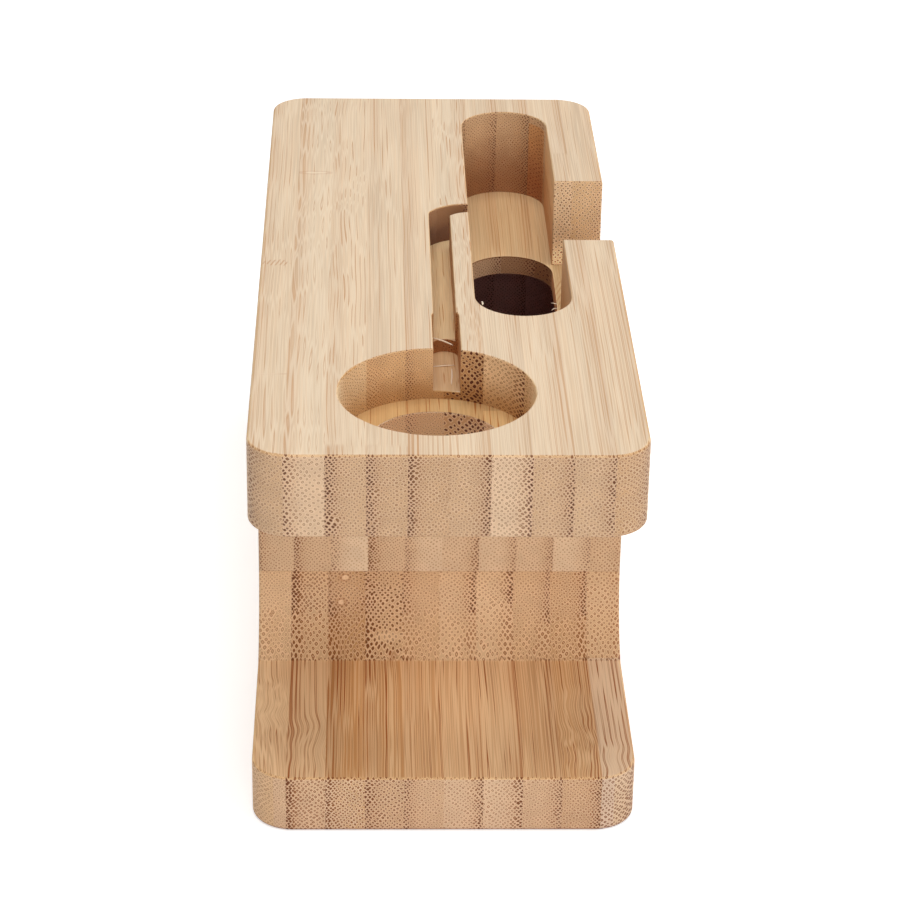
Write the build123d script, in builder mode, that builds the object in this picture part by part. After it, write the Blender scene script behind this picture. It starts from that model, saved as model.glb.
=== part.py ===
# Charging stand of laminated bamboo: three boards, each of glued staves, cut as one block.
# Millimetres, +Z up. X runs across the staves, +Y along them, away from the user.
# The origin is on the table, under the middle of the block.
from build123d import *
from math import cos, floor, radians, sin
import os

# Block
width = 58.0
length = 146.2
height = 63.5
corner_radius = 6.2
edge_ease = 0.5
rim_ease = 0.25

# Boards: the top one, the one on the table, and the middle one in what is left
top_board = 19.0
base_board = 21.2

# Staves, and how far each board's middle joint lies to the right of the block's middle
stave_pitch = 5.93
thinnest_stave = 2.0
top_joint_shift = 0.03
middle_joint_shift = 0.35
base_joint_shift = -0.05

# Gap under the arm, where the watch strap hangs
arm_thickness = 13.2
foot_thickness = 9.35
gap_reach = 42.25
cove_radius = 14.2
cove_angle = 65.0
cove_foot_radius = 1.2

# Stepped recess for the round watch charger, with a hole to push it out
puck_diameter = 29.34
puck_depth = 8.45
puck_from_front = 21.26
puck_left_of_middle = 1.43
push_hole_diameter = 20.0

# Pocket that a phone stands in, with a slot in its floor for the plug
pocket_width = 15.3
pocket_depth = 15.7
pocket_from_front = 48.35
pocket_from_back = 7.2
pocket_right_of_middle = 12.93
plug_slot_length = 29.7

# Notch through the right wall of the pocket, in front of the phone's button
notch_width = 25.87
notch_before_middle = 1.77

# Channel for the watch charger's lead, straight back and then round into the pocket
lead_width = 3.5
lead_depth_front = 5.1
lead_depth_back = 6.3
lead_before_middle = 1.12
lead_turn_radius = 5.91
lead_turn_angle = 56.5

# Wider mouth of the channel, where the lead's sleeve leaves the charger
mouth_width = 4.2
mouth_depth = 7.2
mouth_from_front = 50.4
mouth_right_of_lead = 0.08

# Chamber under the pocket's floor, from the plug slot to the pocket's far end, open to the
# table, and its outlet at the back
chamber_margin = 2.5
outlet_width = 10.0
outlet_height = 8.0

# Cuts run this far past the faces that they open
overrun = 2.0


def from_front(distance):
    """Y of a place this far behind the near face."""
    return distance - length / 2


def below_top(depth):
    """Z of a place this far under the top face."""
    return height - depth


puck_middle = from_front(puck_from_front)
pocket_length = length - pocket_from_front - pocket_from_back
pocket_middle = from_front(pocket_from_front + pocket_length / 2)
pocket_left = pocket_right_of_middle - pocket_width / 2
notch_middle = pocket_middle - notch_before_middle

# Block with the gap under its arm, its edges eased by a light sanding. The gap's back face
# is flat between two coves, which meet the flat arm and foot at an angle, barely rounded.
cove_rise = cove_radius * sin(radians(cove_angle))
with BuildPart() as block:
    with BuildSketch(Plane.YZ):
        with BuildLine():
            back_low = (from_front(gap_reach), foot_thickness + cove_rise)
            back_high = (from_front(gap_reach), below_top(arm_thickness) - cove_rise)
            Line(back_low, back_high)
            low_cove = JernArc(back_low, (0, -1), cove_radius, -cove_angle)
            high_cove = JernArc(back_high, (0, 1), cove_radius, cove_angle)
            Polyline(
                low_cove @ 1,
                (from_front(0), foot_thickness),
                (from_front(0), 0),
                (from_front(length), 0),
                (from_front(length), height),
                (from_front(0), height),
                (from_front(0), below_top(arm_thickness)),
                high_cove @ 1,
            )
        make_face()
    extrude(amount=width / 2, both=True)
    cove_ends = block.edges().filter_by(Axis.X).filter_by(
        lambda edge: abs(edge.center().Y - (low_cove @ 1).X) < rim_ease
    )
    fillet(cove_ends, cove_foot_radius)
    upright_edges = block.edges().filter_by(Axis.Z).group_by(Axis.Y)
    fillet(upright_edges[0] + upright_edges[-1], corner_radius)
    cove_seams = block.edges().filter_by(Axis.X).filter_by_position(
        Axis.Y, from_front(rim_ease), from_front(length - rim_ease)
    )
    sharp_edges = ShapeList()
    for level in (0, foot_thickness, below_top(arm_thickness), height):
        sharp_edges += block.edges().filter_by_position(Axis.Z, level - rim_ease, level + rim_ease)
    gap_edges = block.edges().filter_by_position(
        Axis.Y, from_front(gap_reach - 2 * cove_radius), from_front(gap_reach + rim_ease)
    )
    sharp_edges += gap_edges.filter_by(lambda edge: abs(edge.center().X) > width / 2 - rim_ease)
    fillet(ShapeList(set(sharp_edges) - set(cove_seams)), edge_ease)

# Lead channel: its floor falls slightly towards the pocket
turn_centre = (pocket_left, pocket_middle - lead_before_middle - lead_turn_radius)
lead_x = pocket_left - lead_turn_radius * sin(radians(lead_turn_angle))
turn_start = turn_centre[1] + lead_turn_radius * cos(radians(lead_turn_angle))
mouth_end = from_front(mouth_from_front)
floor_run = turn_start - mouth_end
floor_fall = lead_depth_back - lead_depth_front
channel_floor = Plane(
    origin=(lead_x, mouth_end, below_top(lead_depth_front)), z_dir=(0, floor_fall, floor_run)
)
with BuildPart() as lead_channel:
    with BuildSketch(Plane.XY.offset(below_top(lead_depth_back + overrun))):
        straight_run = turn_start - puck_middle
        with Locations((lead_x, puck_middle + straight_run / 2)):
            SlotCenterToCenter(straight_run, lead_width, rotation=90)
        turn = CenterArc(turn_centre, lead_turn_radius, 90, lead_turn_angle, mode=Mode.PRIVATE)
        SlotArc(turn, lead_width)
    extrude(amount=lead_depth_back + 2 * overrun)
    split(bisect_by=channel_floor, keep=Keep.TOP)

# Stand: the block with everything cut into it
with BuildPart() as stand:
    add(block.part)
    with BuildSketch(Plane.XY.offset(below_top(puck_depth))):
        with Locations((-puck_left_of_middle, puck_middle)):
            Circle(puck_diameter / 2)
    extrude(amount=puck_depth + overrun, mode=Mode.SUBTRACT)
    with BuildSketch(Plane.XY.offset(below_top(arm_thickness + overrun))):
        with Locations((-puck_left_of_middle, puck_middle)):
            Circle(push_hole_diameter / 2)
    extrude(amount=arm_thickness + overrun, mode=Mode.SUBTRACT)
    with BuildSketch(Plane.XY.offset(below_top(pocket_depth))):
        with Locations((pocket_right_of_middle, pocket_middle)):
            SlotOverall(pocket_length, pocket_width, rotation=90)
        notch_reach = width / 2 + overrun - pocket_right_of_middle
        with Locations((pocket_right_of_middle + notch_reach / 2, notch_middle)):
            Rectangle(notch_reach, notch_width)
    extrude(amount=pocket_depth + overrun, mode=Mode.SUBTRACT)
    with BuildSketch(Plane.XY.offset(below_top(mouth_depth))):
        mouth_run = mouth_end - puck_middle
        with Locations((lead_x + mouth_right_of_lead, puck_middle + mouth_run / 2)):
            SlotOverall(mouth_run, mouth_width, rotation=90)
    extrude(amount=mouth_depth + overrun, mode=Mode.SUBTRACT)
    add(lead_channel.part, mode=Mode.SUBTRACT)
    with BuildSketch(Plane.XY):
        with Locations((pocket_right_of_middle, pocket_middle)):
            SlotOverall(plug_slot_length, pocket_width, rotation=90)
    extrude(amount=below_top(pocket_depth), mode=Mode.SUBTRACT)
    chamber_near_end = pocket_middle - plug_slot_length / 2 - chamber_margin
    chamber_run = from_front(length - pocket_from_back) - chamber_near_end
    with BuildSketch(Plane.XY):
        with Locations((pocket_right_of_middle, chamber_near_end + chamber_run / 2)):
            SlotOverall(chamber_run, pocket_width + 2 * chamber_margin, rotation=90)
    extrude(amount=below_top(top_board), mode=Mode.SUBTRACT)
    outlet_reach = from_front(length) + overrun - pocket_middle
    with BuildSketch(Plane.XY):
        with Locations((pocket_right_of_middle, pocket_middle + outlet_reach / 2)):
            Rectangle(outlet_width, outlet_reach)
    extrude(amount=outlet_height, mode=Mode.SUBTRACT)
    top_rims = stand.faces().filter_by(Plane.XY).sort_by(Axis.Z)[-1].edges()
    inner_rims = top_rims.filter_by(
        lambda edge: abs(edge.center().X) < width / 2 - 2 * edge_ease
        and abs(edge.center().Y) < length / 2 - corner_radius
    )
    ledge_rims = stand.edges().filter_by(GeomType.CIRCLE).filter_by(
        lambda edge: abs(edge.radius - push_hole_diameter / 2) < rim_ease
        and abs(edge.center().Z - below_top(puck_depth)) < rim_ease
    )
    fillet(inner_rims + ledge_rims, rim_ease)


def staves_across(shift):
    """Name, inner and outer side of a board's staves, counted outwards from its middle joint."""
    staves = []
    for hand, sign in (("left", -1), ("right", 1)):
        last = floor((width / 2 - thinnest_stave - sign * shift) / stave_pitch)
        sides = [shift + sign * number * stave_pitch for number in range(last + 1)]
        sides.append(sign * (width / 2 + overrun))
        for number, (inner, outer) in enumerate(zip(sides, sides[1:]), start=1):
            staves.append((f"{hand}_{number}", inner, outer))
    return staves


def lengthwise_names(count):
    """Endings for the names of the lengths that the cuts leave of one stave."""
    if count == 1:
        return [""]
    if count == 2:
        return ["_front", "_rear"]
    return [f"_length_{number}" for number in range(1, count + 1)]


# Staves: each board is one layer of the stand, sawn along its joints
boards = (
    ("top_board", below_top(top_board), height + overrun, top_joint_shift),
    ("middle_board", base_board, below_top(top_board), middle_joint_shift),
    ("base_board", -overrun, base_board, base_joint_shift),
)
os.makedirs("parts", exist_ok=True)
for board, low, high, shift in boards:
    for place, inner, outer in staves_across(shift):
        with BuildPart() as stave:
            add(stand.part)
            with BuildSketch(Plane.XY.offset(low)):
                with Locations(((inner + outer) / 2, 0)):
                    Rectangle(abs(outer - inner), length + overrun)
            extrude(amount=high - low, mode=Mode.INTERSECT)
        lengths = stave.solids().sort_by(Axis.Y)
        for solid, ending in zip(lengths, lengthwise_names(len(lengths))):
            name = f"{board}_stave_{place}{ending}"
            with BuildPart() as piece:
                add(solid)
            piece.part.label = name
            export_step(piece.part, f"parts/{name}.step")
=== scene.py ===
"""Looks of a charging stand cut from laminated bamboo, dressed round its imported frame.

Sizes and places are in millimetres in the stand's own frame, and become metres where a mesh, a lamp or the
camera is made. X runs across the staves, Y along them, away from the user, and Z is up.
"""

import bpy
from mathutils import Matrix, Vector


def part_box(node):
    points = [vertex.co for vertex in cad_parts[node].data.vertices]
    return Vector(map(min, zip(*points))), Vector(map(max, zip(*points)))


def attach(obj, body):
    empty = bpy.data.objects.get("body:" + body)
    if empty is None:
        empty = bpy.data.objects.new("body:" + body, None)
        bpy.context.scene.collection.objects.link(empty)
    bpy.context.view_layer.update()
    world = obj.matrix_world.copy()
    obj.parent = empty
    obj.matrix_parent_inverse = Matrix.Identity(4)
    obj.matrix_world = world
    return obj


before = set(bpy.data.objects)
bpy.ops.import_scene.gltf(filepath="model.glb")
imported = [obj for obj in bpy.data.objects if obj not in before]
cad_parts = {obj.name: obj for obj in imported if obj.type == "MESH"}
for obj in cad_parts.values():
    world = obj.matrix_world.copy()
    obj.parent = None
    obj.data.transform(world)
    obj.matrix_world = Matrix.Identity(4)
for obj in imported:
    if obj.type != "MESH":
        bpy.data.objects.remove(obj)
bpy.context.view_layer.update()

import logging
import math
from dataclasses import dataclass, field
from enum import Enum
from functools import reduce

import bpy
import numpy as np
from mathutils import Matrix, Vector

log = logging.getLogger("charging_stand")

MM = 0.001
Socket = bpy.types.NodeSocket
Colour = tuple[float, float, float, float]
Triple = tuple[float, float, float]
Pair = tuple[float, float]
WHITE: Colour = (1.0, 1.0, 1.0, 1.0)


def paint(red: int, green: int, blue: int) -> Colour:
    """Linear colour of an 8-bit screen colour.

    Args:
        red, green, blue: the screen colour, each from 0 to 255.
    Returns:
        Red, green, blue and alpha, by the sRGB formula.
    """
    shares = (channel / 255 for channel in (red, green, blue))
    linear = ((s / 12.92 if s <= 0.04045 else ((s + 0.055) / 1.055) ** 2.4) for s in shares)
    return (*linear, 1.0)


class Graph:
    """Adds nodes to a node tree and joins them, so that a formula reads as one."""

    def __init__(self, tree: bpy.types.NodeTree) -> None:
        """Keeps the tree that the nodes go into."""
        self.tree = tree

    def add(self, kind: str, inputs: dict | None = None, **settings) -> bpy.types.Node:
        """One node with its settings and inputs.

        Args:
            kind: the node's type, as Blender names it.
            inputs: what goes into its sockets, by name or number: another socket, or a value.
            settings: the node's own properties.
        Returns:
            The new node.
        """
        node = self.tree.nodes.new(kind)
        for name, value in settings.items():
            setattr(node, name, value)
        for key, value in (inputs or {}).items():
            if isinstance(value, Socket):
                self.tree.links.new(value, node.inputs[key])
            else:
                node.inputs[key].default_value = value
        return node

    def math(self, operation: str, *values: Socket | float) -> Socket:
        """Result of one Math node."""
        return self.add("ShaderNodeMath", dict(enumerate(values)), operation=operation).outputs[0]

    def plus(self, *values: Socket | float) -> Socket:
        """Sum of two or more numbers."""
        return reduce(lambda total, value: self.math("ADD", total, value), values)

    def minus(self, value: Socket | float, taken: Socket | float) -> Socket:
        """A number less another."""
        return self.math("SUBTRACT", value, taken)

    def times(self, *values: Socket | float) -> Socket:
        """Product of two or more numbers."""
        return reduce(lambda product, value: self.math("MULTIPLY", product, value), values)

    def over(self, value: Socket | float, divisor: Socket | float) -> Socket:
        """A number divided by another."""
        return self.math("DIVIDE", value, divisor)

    def larger(self, first: Socket | float, second: Socket | float) -> Socket:
        """The larger of two numbers."""
        return self.math("MAXIMUM", first, second)

    def away(self, value: Socket, place: float) -> Socket:
        """Distance of a number from a place."""
        return self.math("ABSOLUTE", self.minus(value, place))

    def vector(self, operation: str, *values: Socket | Triple) -> Socket:
        """Result of one Vector Math node, which is a number for a length."""
        node = self.add("ShaderNodeVectorMath", dict(enumerate(values)), operation=operation)
        return node.outputs["Value" if operation == "LENGTH" else "Vector"]

    def scaled(self, vector: Socket, scale: Socket | float) -> Socket:
        """The vector times a number."""
        node = self.add("ShaderNodeVectorMath", {0: vector, "Scale": scale}, operation="SCALE")
        return node.outputs["Vector"]

    def stretched(self, vector: Socket, scales: Triple) -> Socket:
        """The vector times another, axis by axis."""
        return self.vector("MULTIPLY", vector, scales)

    def smooth(self, value: Socket | float, start: Socket | float, end: Socket | float) -> Socket:
        """0 up to start and 1 from end on, with a smooth step between them, whichever is larger."""
        inputs = {0: value, 1: start, 2: end}
        return self.add("ShaderNodeMapRange", inputs, interpolation_type="SMOOTHSTEP").outputs[0]

    def between(self, value: Socket, start: float, end: float) -> Socket:
        """The value taken from 0..1 to start..end, in a straight line."""
        return self.add("ShaderNodeMapRange", {0: value, 3: start, 4: end}, clamp=False).outputs[0]

    def lerp(self, factor: Socket, first: Socket | float, second: Socket | float) -> Socket:
        """Two numbers mixed by a factor."""
        return self.add("ShaderNodeMix", {0: factor, 2: first, 3: second}, data_type="FLOAT").outputs[0]

    def mix(self, factor: Socket | float, first: Socket | Colour, second: Socket | Colour,
            how: str = "MIX") -> Socket:
        """Two colours mixed by a factor."""
        inputs = {0: factor, 6: first, 7: second}
        return self.add("ShaderNodeMix", inputs, data_type="RGBA", blend_type=how).outputs[2]

    def split(self, vector: Socket) -> tuple[Socket, Socket, Socket]:
        """X, Y and Z of a vector."""
        outputs = self.add("ShaderNodeSeparateXYZ", {0: vector}).outputs
        return outputs[0], outputs[1], outputs[2]

    def join(self, x: Socket | float, y: Socket | float, z: Socket | float) -> Socket:
        """A vector from three numbers."""
        return self.add("ShaderNodeCombineXYZ", {0: x, 1: y, 2: z}).outputs[0]

    def alike(self, value: Socket) -> Socket:
        """A vector of one number three times."""
        return self.join(value, value, value)

    def noise(self, vector: Socket, detail: float, output: str | int = 0) -> Socket:
        """Noise of scale 1, so that its grain is set by the vector."""
        inputs = {"Vector": vector, "Scale": 1.0, "Detail": detail}
        return self.add("ShaderNodeTexNoise", inputs).outputs[output]

    def centred(self, vector: Socket, detail: float) -> Socket:
        """Noise in three numbers, each about from -0.5 to 0.5."""
        return self.vector("SUBTRACT", self.noise(vector, detail, "Color"), (0.5, 0.5, 0.5))


def new_material(name: str) -> tuple[bpy.types.Material, Graph]:
    """Makes a material.

    Args:
        name: the material's name.
    Returns:
        The material, still without nodes, and its graph.
    """
    material = bpy.data.materials.new(name)
    material.use_nodes = True
    material.node_tree.nodes.clear()
    return material, Graph(material.node_tree)


def new_piece(name: str, data: bpy.types.ID) -> bpy.types.Object:
    """Puts an object into the scene.

    Args:
        name: the object's name.
        data: its mesh, light or camera.
    Returns:
        The object, at the origin.
    """
    piece = bpy.data.objects.new(name, data)
    bpy.context.scene.collection.objects.link(piece)
    return piece


class Kind(Enum):
    """Kinds of socket on a node group."""

    NUMBER = "NodeSocketFloat"
    VECTOR = "NodeSocketVector"
    COLOUR = "NodeSocketColor"


def sockets(**names: str) -> dict[str, Kind]:
    """Kinds of sockets by name, from the names of each kind, parted by commas."""
    return {name: Kind[kind.upper()] for kind, listed in names.items() for name in listed.split(", ")}


class Effect(Graph):
    """A shader node group that more than one material uses, written as the graph inside it."""

    NAME: str
    INPUTS: dict[str, Kind]
    OUTPUTS: dict[str, Kind]

    def __init__(self) -> None:
        """Makes the group with its sockets, and fills it."""
        super().__init__(bpy.data.node_groups.new(self.NAME, "ShaderNodeTree"))
        for direction, named in (("INPUT", self.INPUTS), ("OUTPUT", self.OUTPUTS)):
            for name, kind in named.items():
                self.tree.interface.new_socket(name=name, in_out=direction, socket_type=kind.value)
        self.given = self.add("NodeGroupInput").outputs
        self.add("NodeGroupOutput", self.build())

    def __getitem__(self, name: str) -> Socket:
        """One of the group's inputs."""
        return self.given[name]

    def build(self) -> dict[str, Socket]:
        """The effect itself.

        Returns:
            The sockets that go to the group's outputs, by name.
        """
        raise NotImplementedError

    def use(self, graph: Graph, **given: Socket | float | Triple) -> dict[str, Socket]:
        """One copy of the effect in a material.

        Args:
            graph: the material's graph.
            given: what goes into the group, by name, with an underscore for each space.
        Returns:
            The group's outputs by name.
        """
        inputs = {name.replace("_", " "): value for name, value in given.items()}
        outputs = graph.add("ShaderNodeGroup", inputs, node_tree=self.tree).outputs
        return {name: outputs[name] for name in self.OUTPUTS}


class KnotEffect(Effect):
    """The node ring of the culm, which turns the bundles near it aside."""

    NAME = "knot"
    INPUTS = sockets(vector="Position, Place, Reach", number="Turn")
    OUTPUTS = sockets(vector="Position", number="Mask")
    FADE = (1.0, 0.35)
    SWIRL_GRAIN = (0.12, 0.13, 0.12)
    SWIRL_SHARES = (1.0, 0.25, 0.22)

    def build(self) -> dict[str, Socket]:
        """Position plus smooth noise times the turn, mostly sideways, inside an ellipsoid round the place.

        Returns:
            The turned position, and a mask of the ellipsoid.
        """
        away = self.vector("SUBTRACT", self["Position"], self["Place"])
        distance = self.vector("LENGTH", self.vector("DIVIDE", away, self["Reach"]))
        mask = self.smooth(distance, *self.FADE)
        swirl = self.centred(self.stretched(self["Position"], self.SWIRL_GRAIN), 0.0)
        aside = self.stretched(self.scaled(swirl, self.times(mask, self["Turn"])), self.SWIRL_SHARES)
        return {"Position": self.vector("ADD", self["Position"], aside), "Mask": mask}


class ScarEffect(Effect):
    """A short pale dash across the grain with a brown edge, or a row of slanted ticks."""

    NAME = "scar"
    INPUTS = sockets(vector="Position, Place, Reach", number="Ticks")
    OUTPUTS = sockets(number="Pale, Dark")
    EDGE_GRAIN = (0.9, 1.6, 0.9)
    EDGE_SHARE = 0.7
    INSIDE = (1.0, 0.6)
    AROUND = (1.7, 1.15)
    AROUND_SHARE = 0.45
    TICK_RATES = (8.5, -2.6)
    TICK = (-0.1, 0.8)

    def build(self) -> dict[str, Socket]:
        """Pale inside a ragged ellipsoid and dark in a band round it, or stripes of a slanted sine.

        Returns:
            How far to go towards the pale and the dark colour.
        """
        away = self.vector("SUBTRACT", self["Position"], self["Place"])
        away = self.vector("DIVIDE", away, self["Reach"])
        ragged = self.centred(self.stretched(self["Position"], self.EDGE_GRAIN), 1.0)
        ragged = self.vector("ADD", away, self.scaled(ragged, self.EDGE_SHARE))
        distance = self.vector("LENGTH", ragged)
        inside = self.smooth(distance, *self.INSIDE)
        around = self.minus(self.smooth(distance, *self.AROUND), inside)
        x, y, _ = self.split(self["Position"])
        slant = self.plus(self.times(x, self.TICK_RATES[0]), self.times(y, self.TICK_RATES[1]))
        stripes = self.smooth(self.math("SINE", slant), *self.TICK)
        plain = self.minus(1.0, self["Ticks"])
        ticks = self.times(stripes, inside, self["Ticks"])
        dark = self.plus(self.times(around, self.AROUND_SHARE, plain), ticks)
        return {"Pale": self.times(inside, plain), "Dark": dark}


class DriftEffect(Effect):
    """How the bundles stray along the stave, so that they surface in places and sink in others."""

    NAME = "drift"
    INPUTS = sockets(vector="Position", number="Lean across, Lean up, Wander, Seed")
    OUTPUTS = sockets(vector="Position")
    BROAD_GRAIN = (0.10, 0.024, 0.10)
    NARROW_GRAIN = (0.21, 0.070, 0.21)
    NARROW_SHARE = 0.33
    ROW_GRAIN = (0.46, 0.006, 0.46)
    ROW_BEND = 0.8

    def build(self) -> dict[str, Socket]:
        """Position plus a slope in X and Z along Y, broad and narrower noise, and rows bent by 0.4 mm.

        Returns:
            The strayed position.
        """
        position, seed = self["Position"], self.alike(self["Seed"])
        broad, narrow, rows = (
            self.centred(self.vector("ADD", self.stretched(position, grain), seed), 0.0)
            for grain in (self.BROAD_GRAIN, self.NARROW_GRAIN, self.ROW_GRAIN)
        )
        strayed = self.vector("ADD", broad, self.scaled(narrow, self.NARROW_SHARE))
        strayed = self.scaled(strayed, self["Wander"])
        strayed = self.vector("ADD", strayed, self.scaled(rows, self.ROW_BEND))
        y = self.split(position)[1]
        lean = self.join(self.times(y, self["Lean across"]), 0.0, self.times(y, self["Lean up"]))
        return {"Position": self.vector("ADD", self.vector("ADD", position, strayed), lean)}


class BundleEffect(Effect):
    """Vascular bundles along Y: rings on end grain, paired streaks on long grain, ovals on slanted cuts."""

    NAME = "bundles"
    INPUTS = sockets(vector="Position", number="Across, Pitch, Spacing, Ring, Hollow, Open, Seed")
    OUTPUTS = sockets(number="Core, Streak, Halo, Middle")
    CROWDING = 0.22
    DIAGONAL = math.sqrt(0.5)
    IRREGULARITY = 0.30
    ROUND_SHARE = 0.5
    DIAMOND_SHARE = 0.42
    DENSE_SIDE = (0.04, 0.42)
    SIZES = (0.84, 1.16)
    SIZES_INWARD = (1.0, 0.86)
    HOLE = (0.68, 0.30)
    DISC = (1.26, 0.88)
    STREAK = (1.08, 0.74)
    STREAK_HOLE = 0.6
    STREAK_CHANCE = (-0.05, 0.9)
    HALO_OUTSIDE = (2.2, 1.5)
    HALO_INSIDE = (1.35, 1.0)

    def build(self) -> dict[str, Socket]:
        """Cells of a slanted lattice across the stave, crowded towards its dense side.

        With q the share of the pitch from the dense joint and s that distance, the lattice runs along
        s + c s (1 - q) and Z, turned by 45 degrees. The offset from a cell's middle is brought back to
        millimetres, and its distance, halfway between a round and a diamond one, is taken over the ring's
        radius. Dark lies inside 1, with a pale middle where the ring is hollow, and the halo outside 1.

        Returns:
            Masks of the dark core on end grain, the streak on long grain, the halo and the pale middle.
        """
        z = self.split(self["Position"])[2]
        across, spacing = self["Across"], self["Spacing"]
        inward = self.times(across, self["Pitch"])
        run = self.plus(inward, self.times(inward, self.CROWDING, self.minus(1.0, across)))
        stretch = self.minus(1.0 + self.CROWDING, self.times(across, 2 * self.CROWDING))
        turn = self.over(self.DIAGONAL, spacing)
        turned = self.scaled(self.join(self.plus(run, z), self.minus(z, run), 0.0), turn)
        seeded = self.vector("ADD", turned, self.join(self["Seed"], self["Seed"], 0.0))
        cells = self.add("ShaderNodeTexVoronoi",
                         {"Vector": seeded, "Scale": 1.0, "Randomness": self.IRREGULARITY},
                         voronoi_dimensions="2D").outputs
        a, b, _ = self.split(self.vector("SUBTRACT", seeded, cells["Position"]))
        side = self.times(spacing, self.DIAGONAL)
        offset_x = self.over(self.times(self.minus(a, b), side), stretch)
        offset_z = self.times(self.plus(a, b), side)
        chance, other_chance, _ = self.split(cells["Color"])
        round_one = self.vector("LENGTH", self.join(offset_x, offset_z, 0.0))
        diamond = self.plus(self.math("ABSOLUTE", offset_x), self.math("ABSOLUTE", offset_z))
        distance = self.plus(self.times(round_one, self.ROUND_SHARE),
                             self.times(diamond, self.DIAMOND_SHARE))
        inner = self.larger(self.smooth(across, *self.DENSE_SIDE), self["Open"])
        radius = self.times(self["Ring"], self.between(other_chance, *self.SIZES),
                            self.between(inner, *self.SIZES_INWARD))
        reach = self.over(distance, radius)
        hollow = self.times(self["Hollow"], inner)
        hole = self.smooth(reach, *self.HOLE)
        middle = self.times(hole, hollow)
        core = self.times(self.smooth(reach, *self.DISC), self.minus(1.0, middle))
        parted = self.times(hole, self.larger(hollow, self.STREAK_HOLE))
        streak = self.times(self.smooth(reach, *self.STREAK), self.minus(1.0, parted),
                            self.smooth(chance, *self.STREAK_CHANCE))
        halo = self.minus(self.smooth(reach, *self.HALO_OUTSIDE), self.smooth(reach, *self.HALO_INSIDE))
        return {"Core": core, "Streak": streak, "Halo": halo, "Middle": middle}


class WoodColourEffect(Effect):
    """Colour and height of bamboo from its bundles, its cut and its tones."""

    NAME = "wood_colour"
    INPUTS = sockets(
        vector="Position",
        number="End, Across, Solid, Long boldness, End boldness, Lightness, Core, Streak, Halo, Middle, "
               "Pale, Dark, Seed",
        colour="Long pith, End pith, Long fibre, End fibre, End ring, Long sheath, End sheath",
    )
    OUTPUTS = sockets(colour="Color", number="Height, Roughness")
    BROAD_GRAIN = (0.34, 0.020, 0.34)
    BROAD_TONES = (0.82, 1.18)
    HAIR_GRAIN = (4.2, 0.075, 4.2)
    HAIR_TONES = (-0.16, 0.16)
    HAIR_ON_END = 0.4
    FADE_GRAIN = (1.3, 0.045, 1.3)
    FADE = (0.12, 0.66)
    SHADE = paint(226, 206, 190)
    SHADED_SIDE = (0.62, -0.1)
    SHADE_SHARE = 0.75
    HALO_SHARE = 0.8
    MIDDLE_SHARE = 0.7
    SOLID_SIDE = (0.34, 0.02)
    RING_SHARE = 0.85
    PALE_SHARE = 0.5
    DARK_SHARE = 0.6
    HAIR_HEIGHT = 0.5
    PIT_DEPTH = 0.6
    ROUGHNESS = (0.48, 0.60)

    def build(self) -> dict[str, Socket]:
        """Pith, shaded at the dense side and by fine lines, with sheaths, fibres and scars laid over it.

        Returns:
            The colour, the height of the surface as a share of the grain's depth, and the roughness.
        """
        end, core, dark = self["End"], self["Core"], self["Dark"]
        placed = self.vector("ADD", self["Position"], self.alike(self["Seed"]))
        broad = self.noise(self.stretched(placed, self.BROAD_GRAIN), 2.0)
        hair = self.noise(self.stretched(placed, self.HAIR_GRAIN), 2.0)
        fade = self.smooth(self.noise(self.stretched(placed, self.FADE_GRAIN), 1.0), *self.FADE)
        pith = self.mix(end, self["Long pith"], self["End pith"])
        shade = self.times(self.smooth(self["Across"], *self.SHADED_SIDE), self.SHADE_SHARE)
        pith = self.mix(shade, pith, self.SHADE, "MULTIPLY")
        fine = self.times(self.between(hair, *self.HAIR_TONES), self.between(end, 1.0, self.HAIR_ON_END))
        unevenness = self.plus(self.between(broad, *self.BROAD_TONES), fine)
        pith = self.mix(1.0, pith, self.alike(unevenness), "MULTIPLY")
        sheath = self.mix(end, self["Long sheath"], self["End sheath"])
        light = self.larger(self.times(self["Halo"], self.HALO_SHARE),
                            self.times(self["Middle"], self.MIDDLE_SHARE))
        colour = self.mix(self.times(light, self["Lightness"]), pith, sheath)
        solid = self.larger(self.smooth(self["Across"], *self.SOLID_SIDE), self["Solid"])
        crossed = self.mix(solid, self["End ring"], self["End fibre"])
        fibre = self.mix(end, self["Long fibre"], crossed)
        long_depth = self.times(self["Streak"], fade, self.minus(1.0, end), self["Long boldness"])
        end_depth = self.times(core, end, self["End boldness"], self.between(solid, self.RING_SHARE, 1.0))
        pale = self.times(self["Pale"], self.PALE_SHARE)
        depth = self.times(self.plus(long_depth, end_depth), self.minus(1.0, pale))
        colour = self.mix(self.math("MINIMUM", depth, 1.0), colour, fibre)
        colour = self.mix(pale, colour, sheath)
        colour = self.mix(self.times(dark, self.DARK_SHARE), colour, self["Long fibre"])
        pits = self.times(self.plus(core, dark), self.PIT_DEPTH)
        height = self.minus(self.times(hair, self.HAIR_HEIGHT), pits)
        return {"Color": colour, "Height": height,
                "Roughness": self.between(self.plus(core, hair), *self.ROUGHNESS)}


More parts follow.
